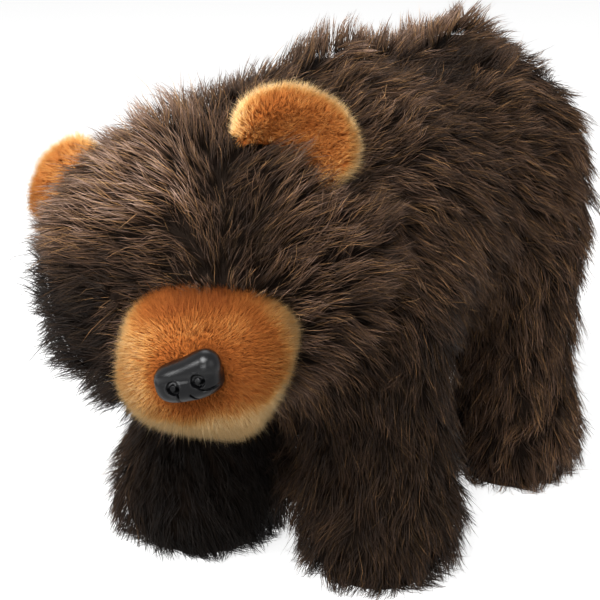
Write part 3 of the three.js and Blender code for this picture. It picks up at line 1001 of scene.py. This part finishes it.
def moulding(name, places, faces, material):
    """A black plastic piece, welded and smooth."""
    mesh = bpy.data.meshes.new(name)
    mesh.from_pydata(places.tolist(), [], faces.tolist())
    made = in_scene(name, mesh)
    weld = made.modifiers.new("weld", "WELD")
    weld.merge_threshold = 0.00002
    applied(made)
    made.data.shade_smooth()
    made.data.materials.append(material)
    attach(made, "root")
    return made


def soft_min(a, b, fillet):
    """The smaller of two distances, rounded where they meet."""
    near = np.maximum(fillet - np.abs(a - b), 0) / fillet
    return np.minimum(a, b) - near * near * fillet / 4


def blob(p, middle, radii, squareness):
    """About the distance to an ellipsoid. A squareness over 2 fills it out towards its box."""
    shares = np.abs(p - middle) / radii
    reach = np.maximum(np.sum(shares**squareness, 1) ** (1 / squareness), 1e-6)
    slopes = (shares / reach[:, None]) ** (squareness - 1) / radii
    return (reach - 1) / np.maximum(np.linalg.norm(slopes, axis=1), 1e-6)


def nose_block(p):
    """The distance to the moulding without its nostrils."""
    face = blob(p, np.array([-1.0, -1.0, -1.4]), np.array([12.8, 8.2, 7.7]), 2.8)
    roll = rod(p, (-8.0, 1.0, 1.6), (8.3, 1.6, 3.1), 2.4, flare=3.2)
    return soft_min(face, roll, 3.0)


# the corners come in from outside along their own directions until they lie on the block
directions, faces = sphere_grid(NOSE_STEPS)
radius = np.full(len(directions), NOSE_REACH)
for _ in range(90):
    radius -= 0.6 * np.clip(nose_block(directions * radius[:, None]), -0.5, 3.0)
p = directions * radius[:, None]
# a groove under the roll, the nostrils and the slits are sunk into the front
front = smooth_step(-1.5, 0.5, p[:, 1])
flat = p[:, [0, 2]]
sunk = smooth_step(1.6, 0.0, rod(flat, (-10.5, 0.4), (10.5, -0.4), 0.2)) * GROOVE_DEPTH
for nostril in NOSTRILS:
    from_nostril = np.linalg.norm(flat - np.array(nostril), axis=1)
    lower = smooth_step(0.8, -1.2, flat[:, 1] - nostril[1])
    ring = smooth_step(0.95, 0.35, np.abs(from_nostril - NOSTRIL_RADIUS)) * (0.8 + 1.4 * lower)
    lip = smooth_step(0.9, 0.0, np.abs(from_nostril - LIP_RADIUS)) * LIP_HEIGHT
    sunk = sunk + ring - lip
for slit in SLITS:
    gap = np.min([rod(flat, start, end, 0.0) for start, end in zip(slit, slit[1:])], axis=0)
    sunk = sunk + smooth_step(0.60, 0.25, gap) * SLIT_DEPTH
p[:, 1] -= sunk * front

nose_left = face_left * math.cos(NOSE_ROLL) + face_up * math.sin(NOSE_ROLL)
nose_up = face_up * math.cos(NOSE_ROLL) - face_left * math.sin(NOSE_ROLL)
nose_front = face_forward * math.cos(NOSE_TURN) + nose_left * math.sin(NOSE_TURN)
nose_left = np.cross(nose_up, nose_front)
nose_front, nose_up = (
    nose_front * math.cos(NOSE_NOD) + nose_up * math.sin(NOSE_NOD),
    nose_up * math.cos(NOSE_NOD) - nose_front * math.sin(NOSE_NOD),
)
p[:, 2] += NOSE_RISE
placed = nose_middle + 0.001 * (p[:, :1] * nose_left + p[:, 1:2] * nose_front + p[:, 2:] * nose_up)

# Moulded plastic with a satin skin: black, with a soft gleam on top that dulls below the middle of the
# nose. Its grain is some 0.02 mm.
black_plastic, tree = blank_material("satin_black_moulded_plastic")
grain = node(tree, "ShaderNodeTexNoise", Scale=1800.0, Detail=2.0)
patches = node(tree, "ShaderNodeTexNoise", Scale=120.0, Detail=2.0).outputs["Fac"]
colour = node(tree, "ShaderNodeValToRGB", {"Fac": patches}, [(0.3, "#020203"), (0.7, "#060607")])
rough = node(tree, "ShaderNodeMapRange", {"Value": patches}, To_Min=0.20, To_Max=0.28)
bump = node(tree, "ShaderNodeBump", {"Height": grain.outputs["Fac"]}, Strength=0.12, Distance=0.0002)
place = node(tree, "ShaderNodeNewGeometry").outputs["Position"]
level = node(tree, "ShaderNodeVectorMath", {0: place}, operation="DOT_PRODUCT")
level.inputs[1].default_value = nose_up
level = level.outputs["Value"]
middle_level = float(nose_middle @ nose_up)
polish = dict(From_Min=middle_level, From_Max=middle_level + 0.0024)
glint = node(tree, "ShaderNodeMapRange", {"Value": level}, To_Min=0.14, To_Max=0.22, **polish)
blur = node(tree, "ShaderNodeMapRange", {"Value": level}, To_Min=0.12, To_Max=0.0, **polish)
rough = node(tree, "ShaderNodeMath", {0: rough.outputs[0], 1: blur.outputs[0]}, operation="ADD")
satin = {"Base Color": colour.outputs["Color"], "Roughness": rough.outputs[0], "Normal": bump.outputs[0]}
satin["Specular IOR Level"] = glint.outputs[0]
satin = node(tree, "ShaderNodeBsdfPrincipled", satin)
node(tree, "ShaderNodeOutputMaterial", {"Surface": satin.outputs[0]})
nose = moulding("nose_moulding", placed, faces, black_plastic)
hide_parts("nose")


# ---- Eyes: two black beads on stems, sunk in the pile at the upper corners of the muzzle ----
# The pile closes over them.

EYE_RADIUS = 0.0048
EYE_STEPS = 16
EYE_SUNK = 0.0025  # from the solid's middle towards the head's
for name in EYES:
    directions, faces = sphere_grid(EYE_STEPS)
    middle = middle_of(name)
    places = middle + unit(head_middle - middle) * EYE_SUNK + directions * EYE_RADIUS
    eye = moulding("bead_" + name, places, faces, black_plastic)
    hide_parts(name)


# ---- Soles: rounds of flat dark cloth, sewn in under the feet ----
# They are all that touches the floor, and the pile hangs down round them.

# Woven cloth, matt and nearly black under the toy. Its weave is finer than shows.
sole_cloth = cloth_material(
    "dark_brown_sole_cloth", 1500.0, dark="#150f0b", light="#2a1f18", relief=0.6, relief_height=0.0004
)

# the rounded edge, from under the sole to its upper side: (share of the radius, height)
SOLE_EDGE = [(0.90, 0.0), (0.97, 0.0006), (1.0, 0.0016), (0.97, 0.0028), (0.80, 0.0034)]
SOLE_TURNS = 48
SOLE_SHARE = 0.84  # of the solid sole, since the fur is drawn in over its edge
turn = np.linspace(0, 2 * math.pi, SOLE_TURNS, endpoint=False)
for name in SOLES:
    low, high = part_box(name)
    centre = (low + high) / 2
    radius = min(high.x - low.x, high.y - low.y) / 2 * SOLE_SHARE
    # each is a little out of round, as cut and sewn by hand
    wobble = 1 + 0.03 * np.sin(2 * turn + centre.x * 90) + 0.012 * np.sin(5 * turn)
    places = [
        (centre.x + x, centre.y + y, level)
        for share, level in SOLE_EDGE
        for x, y in zip(np.cos(turn) * radius * share * wobble, np.sin(turn) * radius * share * wobble)
    ]
    faces = [tuple(reversed(range(SOLE_TURNS)))]
    for row in range(len(SOLE_EDGE) - 1):
        for k in range(SOLE_TURNS):
            a, b = row * SOLE_TURNS + k, row * SOLE_TURNS + (k + 1) % SOLE_TURNS
            faces.append((a, b, b + SOLE_TURNS, a + SOLE_TURNS))
    faces.append(tuple(range((len(SOLE_EDGE) - 1) * SOLE_TURNS, len(SOLE_EDGE) * SOLE_TURNS)))
    mesh = bpy.data.meshes.new("cloth_" + name)
    mesh.from_pydata(places, [], faces)
    mesh.materials.append(sole_cloth)
    sole = in_scene("cloth_" + name, mesh)
    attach(sole, "root")
    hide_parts(name)


low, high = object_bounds()
